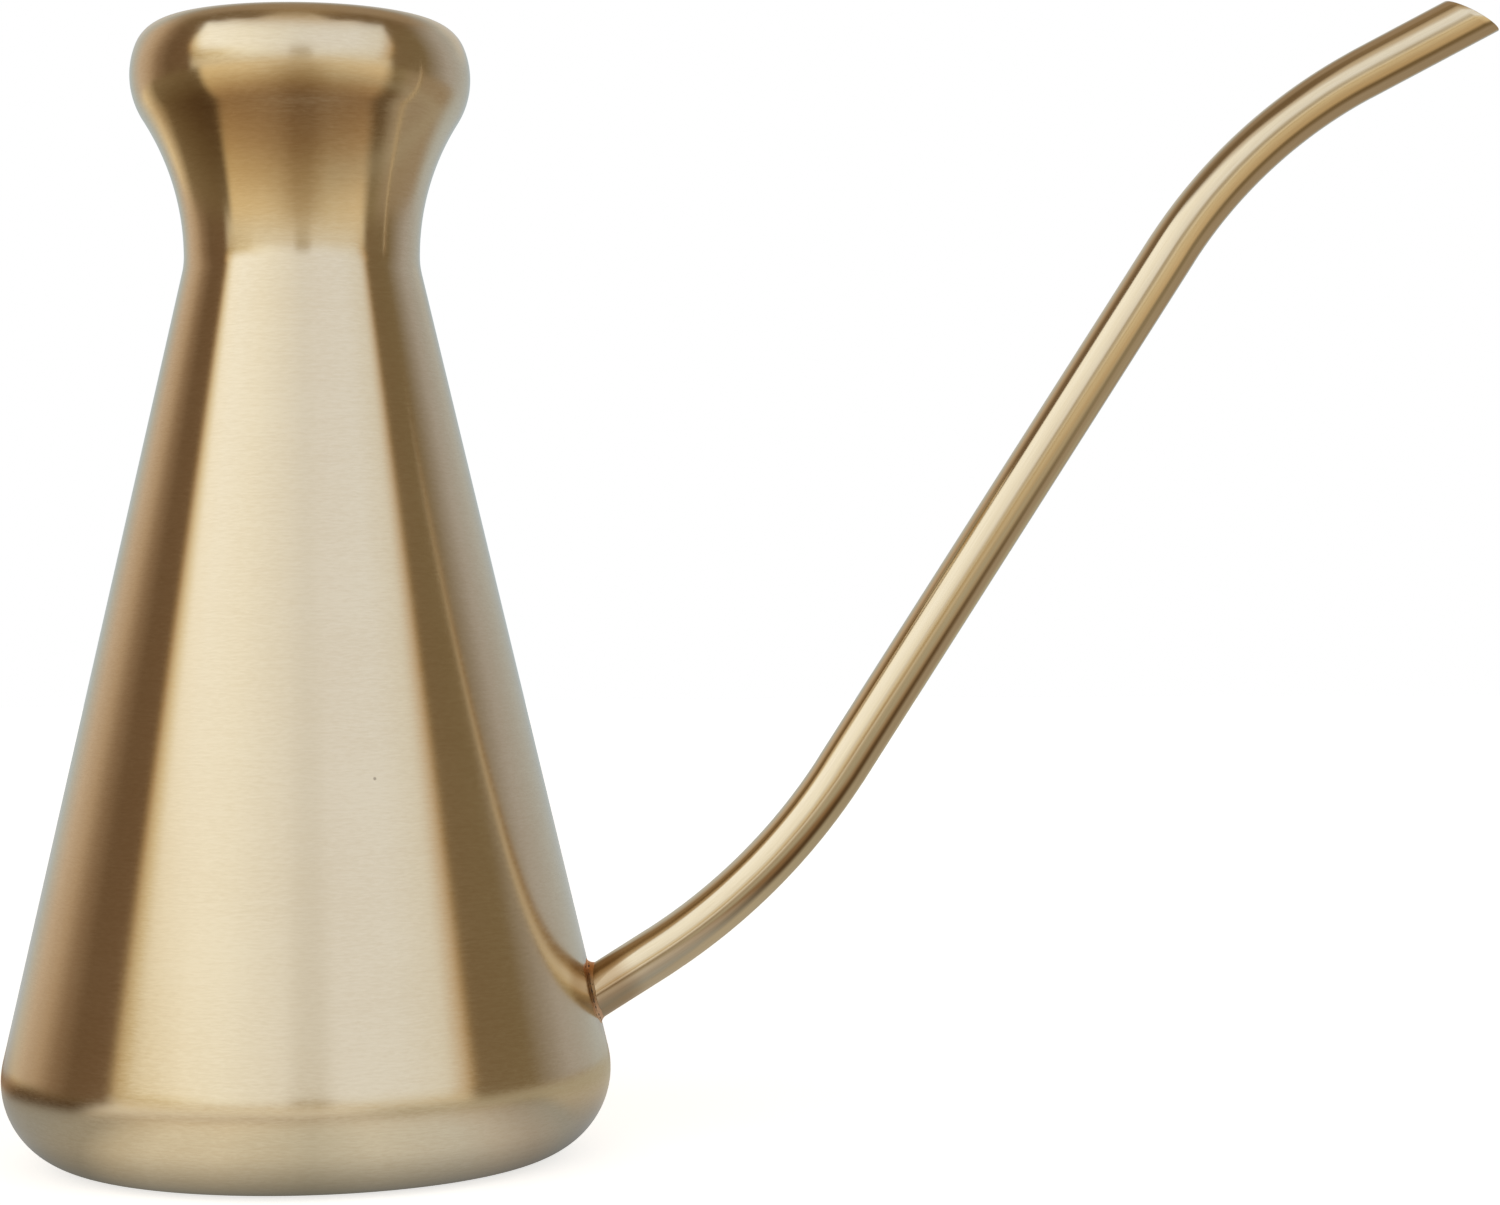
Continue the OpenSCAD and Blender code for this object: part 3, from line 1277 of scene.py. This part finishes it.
@dataclass(frozen=True)
class Studio:
    """Camera, pale floor and soft light of the shot, in metres and degrees."""

    eye: Triple = (0.0867, -0.6435, 0.1072)
    roll: float = 0.49
    lens: float = 79.2
    floor_r: float = 3.0
    panel_tilt: float = 26.0
    panel_left: float = -64.0
    panel_right: float = 65.0
    panel_low: float = 5.0
    panel_high: float = 46.0
    soft_side: float = 3.0
    soft_end: float = 4.0
    room: Stops = (
        (-180, 0.46, 0.53, 0.57), (-150, 0.50, 0.55, 0.56), (-128, 0.62, 0.51, 0.41),
        (-115, 0.52, 0.40, 0.29), (-104, 0.30, 0.21, 0.14), (-92, 0.17, 0.11, 0.065),
        (-60, 0.19, 0.12, 0.07), (60, 0.21, 0.15, 0.09), (100, 0.22, 0.17, 0.10), (125, 0.45, 0.44, 0.45),
        (150, 0.49, 0.52, 0.54), (180, 0.46, 0.53, 0.57),
    )
    panel: Stops = (
        (-68, 0.62, 0.40, 0.18), (-62, 1.00, 0.92, 0.72), (-57, 1.18, 1.22, 1.24),
        (-46, 1.16, 1.22, 1.28), (-27, 1.08, 1.12, 1.14), (-8, 0.97, 1.01, 1.05), (7, 0.90, 0.95, 1.03),
        (20, 0.89, 0.94, 1.04), (41, 0.89, 0.95, 1.06), (58, 0.84, 0.87, 0.90), (68, 0.58, 0.40, 0.20),
    )
    panel_foot: Stops = (
        (-68, 0.50, 0.38, 0.20), (-55, 0.80, 0.70, 0.46), (-45, 0.92, 0.84, 0.62),
        (-41, 1.04, 1.00, 0.84), (-26, 1.10, 1.14, 1.12), (0, 0.88, 0.90, 0.94), (28, 0.92, 0.98, 1.06),
        (58, 0.86, 0.88, 0.88), (68, 0.58, 0.42, 0.22),
    )
    above_panel: Stops = (
        (46, 0.80, 0.80, 0.80), (54, 0.68, 0.62, 0.55), (62, 0.60, 0.52, 0.41), (72, 0.48, 0.40, 0.29),
        (88, 0.34, 0.26, 0.17),
    )
    foot_rise: Span = (17.5, 13)
    back_wall: Colour = (0.62, 0.60, 0.56)
    back_wall_turn: Span = (140, 160)
    back_wall_rise: tuple[Span, Span] = ((10, 18), (38, 26))
    high_room: Colour = (0.20, 0.14, 0.08)
    high_back: Colour = (0.36, 0.28, 0.20)
    high_turn: Span = (100, 140)
    high_rise: Span = (28, 50)
    ceiling: Colour = (0.34, 0.25, 0.15)
    ceiling_rise: Span = (66, 88)
    table: Colour = (0.80, 0.73, 0.58)
    table_turn: Span = (74, 66)
    table_rise: Span = (9, 3)
    stand: Colour = (0.50, 0.45, 0.35)
    stand_turn: float = 8.0
    stand_w: Span = (11.0, 3.0)
    stand_rise: tuple[Span, Span] = ((23, 5), (-4, 6))
    lean_zero: float = 27.0
    lean_rises: Span = (19.0, 40.0)
    left_lean: float = 0.5
    right_lean: float = -0.4
    near_to_far: Span = (0.10, 0.16)
    right_end: Span = (170, 140)
    # Painted contact shadow in the floor's look to reflections: its reach and its colour.
    shadow_r: Span = (0.040, 0.064)
    shadow: Colour = (0.12, 0.12, 0.11)
    # Painted reflection tint seen on the floor behind the can.
    painted_back_reflection: Colour = (0.50, 0.54, 0.56)
    # Painted sheen where reflected rays graze the floor.
    gleam: Colour = (0.90, 0.88, 0.82)
    # Painted reflection tint where reflected rays meet the floor at a slant.
    slant: Colour = (0.47, 0.44, 0.35)
    paint: Colour = (0.92, 0.92, 0.91)
    paint_mark: Colour = (0.7, 0.7, 0.7)
    floor_lift: float = 0.68
    # Painted reflection: ramps of glowing colour, with painted shade, that only reflected rays see on the
    # floor.
    painted_reflection_rings: Stops = (
        (0.000, 0.62, 0.58, 0.51), (0.075, 0.84, 0.82, 0.74), (0.105, 0.84, 0.79, 0.68),
        (0.145, 0.24, 0.16, 0.09), (0.190, 0.23, 0.15, 0.08), (0.300, 0.32, 0.22, 0.12),
        (0.450, 0.46, 0.36, 0.21), (0.800, 0.60, 0.51, 0.34), (1.200, 0.68, 0.59, 0.40),
    )
    painted_reflection_right_rings: Stops = (
        (0.06, 0.32, 0.33, 0.34), (0.085, 0.46, 0.43, 0.38), (0.11, 0.50, 0.46, 0.38),
        (0.16, 0.45, 0.42, 0.34), (0.27, 0.37, 0.31, 0.24), (0.60, 0.36, 0.29, 0.21),
    )
    painted_reflection_near: Stops = (
        (-180, 0.42, 0.45, 0.50), (-75, 0.43, 0.45, 0.49), (-50, 0.48, 0.47, 0.46),
        (-38, 0.78, 0.75, 0.71), (-28, 0.95, 0.94, 0.93), (-12, 0.98, 0.98, 0.99), (8, 0.74, 0.76, 0.79),
        (22, 0.87, 0.90, 0.97), (42, 0.78, 0.82, 0.92), (52, 0.70, 0.70, 0.76), (64, 0.54, 0.53, 0.57),
        (80, 0.44, 0.47, 0.53), (180, 0.42, 0.45, 0.50),
    )
    painted_reflection_far: Stops = (
        (-180, 1.0, 1.1, 1.3), (-128, 1.25, 1.2, 1.2), (-110, 0.36, 0.31, 0.26), (-66, 0.28, 0.23, 0.18),
        (-60, 1.30, 1.22, 1.1), (-30, 1.25, 1.20, 1.15), (-16, 1.12, 1.08, 1.06), (2, 0.78, 0.71, 0.64),
        (14, 0.78, 0.72, 0.66), (32, 1.06, 1.06, 1.10), (64, 1.20, 1.15, 1.15), (74, 0.42, 0.39, 0.35),
        (130, 0.85, 0.85, 0.92), (180, 1.0, 1.1, 1.3),
    )

    def build(self) -> None:
        """Sets up the camera, the light and the floor."""
        self._camera()
        self._light()
        self._floor()
        scene = bpy.context.scene
        scene.view_settings.view_transform = "Standard"
        scene.view_settings.look = "None"
        log.info("studio: camera at %s", self.eye)

    def _camera(self) -> None:
        """Places the camera level in front of the can, with its slight roll."""
        data = bpy.data.cameras.new("camera")
        data.lens = self.lens
        data.sensor_width = 36.0
        camera = placed("camera", data)
        camera.location = self.eye
        camera.rotation_euler = (math.radians(90), math.radians(self.roll), 0)
        bpy.context.scene.camera = camera

    def _light(self) -> None:
        """Lights the room from a broad soft panel in front and a pale room round it."""
        world = bpy.data.worlds.new("studio")
        bpy.context.scene.world = world
        world.use_nodes = True
        world.node_tree.nodes.clear()
        bench = Bench(world.node_tree)
        parts = bench.add("ShaderNodeSeparateXYZ", {0: bench.coordinates("Generated")})
        across, ahead = parts.outputs["X"], bench.product(parts.outputs["Y"], -1.0)
        turn = bench.bearing(across, ahead)
        rise = bench.math("DEGREES", bench.math("ARCSINE", parts.outputs["Z"]))
        tilt = math.radians(self.panel_tilt)
        upward = bench.product(parts.outputs["Z"], math.sin(tilt))
        swing = bench.bearing(across, bench.math("MULTIPLY_ADD", ahead, math.cos(tilt), upward))
        panel = bench.ramp(swing, self.panel, -75, 75)
        foot = bench.ramp(swing, self.panel_foot, -75, 75)
        panel = bench.mix(bench.window(rise, *self.foot_rise), panel, foot)
        seen = bench.mix(self._panel_share(bench, swing, rise), self._room(bench, turn, rise), panel)
        off_stand = bench.math("ABSOLUTE", bench.math("SUBTRACT", turn, self.stand_turn))
        high, low = self.stand_rise
        stand = bench.within((off_stand, *self.stand_w), (rise, *high), (rise, *low))
        seen = bench.mix(stand, seen, self.stand)
        camera_ray = bench.add("ShaderNodeLightPath").outputs["Is Camera Ray"]
        inputs = {"Color": bench.mix(camera_ray, seen, (1.0, 1.0, 1.0)), "Strength": 1.0}
        bench.show(bench.add("ShaderNodeBackground", inputs), "ShaderNodeOutputWorld")

    def _room(self, bench: Bench, turn: Socket, rise: Socket) -> Socket:
        """Colours the room round the panel.

        Args:
            bench: The world's bench.
            turn: The bearing, in degrees.
            rise: The angle above the horizon, in degrees.

        Returns:
            The colour.
        """
        off_front = bench.math("ABSOLUTE", turn)
        room = bench.ramp(turn, self.room, -180, 180)
        low, high = self.back_wall_rise
        back_wall = bench.within((off_front, *self.back_wall_turn), (rise, *low), (rise, *high))
        room = bench.mix(back_wall, room, self.back_wall)
        high_room = bench.mix(bench.window(off_front, *self.high_turn), self.high_room, self.high_back)
        room = bench.mix(bench.window(rise, *self.high_rise), room, high_room)
        room = bench.mix(bench.window(rise, *self.ceiling_rise), room, self.ceiling)
        glow = bench.math("MAXIMUM", bench.window(off_front, 50, 25), bench.window(rise, 60, 53))
        glow = bench.product(glow, bench.within((off_front, 80, 50), (rise, 40, 46)))
        room = bench.mix(glow, room, bench.ramp(rise, self.above_panel, 46, 90))
        table = bench.within((off_front, *self.table_turn), (rise, *self.table_rise))
        return bench.mix(table, room, self.table)

    def _panel_share(self, bench: Bench, swing: Socket, rise: Socket) -> Socket:
        """Shapes the panel, whose sides lean with height.

        Args:
            bench: The world's bench.
            swing: The bearing in the tilted panel's frame, in degrees.
            rise: The angle above the horizon, in degrees.

        Returns:
            How much of the panel shows.
        """
        least, most = self.lean_rises
        height = bench.math("MINIMUM", bench.math("MAXIMUM", rise, least), most)
        lean = bench.math("SUBTRACT", self.lean_zero, height)
        left = bench.math("MULTIPLY_ADD", lean, self.left_lean, swing)
        right = bench.math("MULTIPLY_ADD", lean, self.right_lean, swing)
        side, end = self.soft_side, self.soft_end
        return bench.within(
            (left, self.panel_left - side, self.panel_left + side),
            (right, self.panel_right + side, self.panel_right - side),
            (rise, self.panel_low - end, self.panel_low + end),
            (rise, self.panel_high + end, self.panel_high - end),
        )

    def _floor(self) -> None:
        """Lays the pale floor, near white with a soft contact shadow to the camera, and a glowing painted
        reflection to all other rays.
        """
        angles = np.linspace(0, math.tau, 96, endpoint=False)
        rim = [(self.floor_r * math.cos(a), self.floor_r * math.sin(a), -0.00005) for a in angles]
        mesh = bpy.data.meshes.new("floor")
        mesh.from_pydata(rim, [], [tuple(range(len(rim)))])
        floor = placed("floor", mesh)
        made, bench = blank_material("pale_floor")
        place = bench.coordinates("Object")
        parts = bench.add("ShaderNodeSeparateXYZ", {0: place})
        reach = bench.vector("LENGTH", place)
        turn = bench.bearing(parts.outputs["X"], bench.product(parts.outputs["Y"], -1.0))
        off_front = bench.math("ABSOLUTE", turn)
        facing = bench.add("ShaderNodeLayerWeight").outputs["Facing"]
        # Painted reflection: the colour that reflected rays see on the floor, with painted shade by reach and
        # bearing.
        near = bench.ramp(turn, self.painted_reflection_near, -180, 180)
        far = bench.ramp(turn, self.painted_reflection_far, -180, 180)
        around = bench.mix(bench.window(reach, *self.near_to_far), near, far)
        tone = bench.mix(1.0, bench.ramp(reach, self.painted_reflection_rings, 0.0, 1.3), around, "MULTIPLY")
        right = bench.within((turn, 78, 92), (turn, *self.right_end))
        tone = bench.mix(right, tone, bench.ramp(reach, self.painted_reflection_right_rings, 0.0, 1.3))
        # Painted reflection tint on the floor behind the can, seen only by reflected rays.
        painted_back_reflection = bench.within((off_front, 125, 150), (reach, 0.16, 0.30))
        tone = bench.mix(painted_back_reflection, tone, self.painted_back_reflection)
        # Painted sheen where reflected rays graze the floor, from the ray's angle.
        gleam = bench.within((facing, 0.75, 0.90), (reach, 0.9, 0.5), (off_front, 74, 60))
        tone = bench.mix(gleam, tone, self.gleam)
        # Painted reflection tint where reflected rays meet the floor at a slant, from the ray's angle.
        slant = bench.within(
            (facing, 0.50, 0.66), (reach, 0.65, 0.4), (reach, *self.near_to_far),
            (turn, 15, 40), (turn, *self.right_end),
        )
        tone = bench.mix(slant, tone, self.slant)
        # Painted contact shadow round the can's foot, seen only by reflected rays.
        tone = bench.mix(bench.window(reach, *self.shadow_r), self.shadow, tone)
        grain = bench.product(bench.noise(place, scale=400.0), 0.02)
        matt = bench.add("ShaderNodeBsdfDiffuse", {"Color": bench.mix(grain, self.paint, self.paint_mark)})
        lift = bench.add("ShaderNodeEmission", {"Color": (1, 1, 1), "Strength": self.floor_lift})
        pale = bench.add("ShaderNodeAddShader", {0: matt, 1: lift})
        # The painted reflection glows for every ray but the camera's, which sees the pale floor.
        painted_reflection_glow = bench.add("ShaderNodeEmission", {"Color": tone, "Strength": 1.0})
        camera_ray = bench.add("ShaderNodeLightPath").outputs["Is Camera Ray"]
        shaders = {0: camera_ray, 1: painted_reflection_glow, 2: pale}
        bench.show(bench.add("ShaderNodeMixShader", shaders))
        mesh.materials.append(made)


def main() -> None:
    """Builds the can's sub-assemblies in order and reports each one."""
    logging.basicConfig(level=logging.INFO, format="%(name)s %(message)s")
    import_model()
    Studio().build()
    shop = Workshop()
    spout = Spout(shop)
    root = spout.root
    heat = HeatTint(middle=(root[0] + 1.5, 0.0, root[2] + 1.0), inner=5.5, outer=10.0)
    wall_brass = BrushedBrass("brushed_wall_brass", heat=heat)
    neck_brass = BrushedBrass("brushed_neck_brass")
    tube_brass = BrushedBrass(
        "drawn_tube_brass", Brushing.LENGTHWISE, roughness=0.12, anisotropy=0.3,
        line_depth=0.25, speck_share=0.35, heat=heat,
    )
    weld_brass = BrushedBrass("dressed_weld_brass", speck_share=0.2)
    base_brass = BrushedBrass("base_plate_brass", roughness=0.36, anisotropy=0.5)
    bead_brass = BrushedBrass(
        "base_bead_brass", tone=(0.70, 0.52, 0.34), deep=(0.42, 0.28, 0.17),
        roughness=0.42, anisotropy=0.0,
    )
    BodyCone(shop, wall_brass).build(spout)
    NeckFunnel(shop, neck_brass).build()
    WaistWeld(shop, weld_brass).build()
    Base(shop, base_brass, bead_brass).build()
    spout.build_tube(tube_brass)
    spout.build_braze(BrazeAlloy("braze_alloy", root[2] - 6.0, root[2] + 6.0))
    log.info("%d pieces built", len(shop.made))


if __name__ == "__main__":
    main()
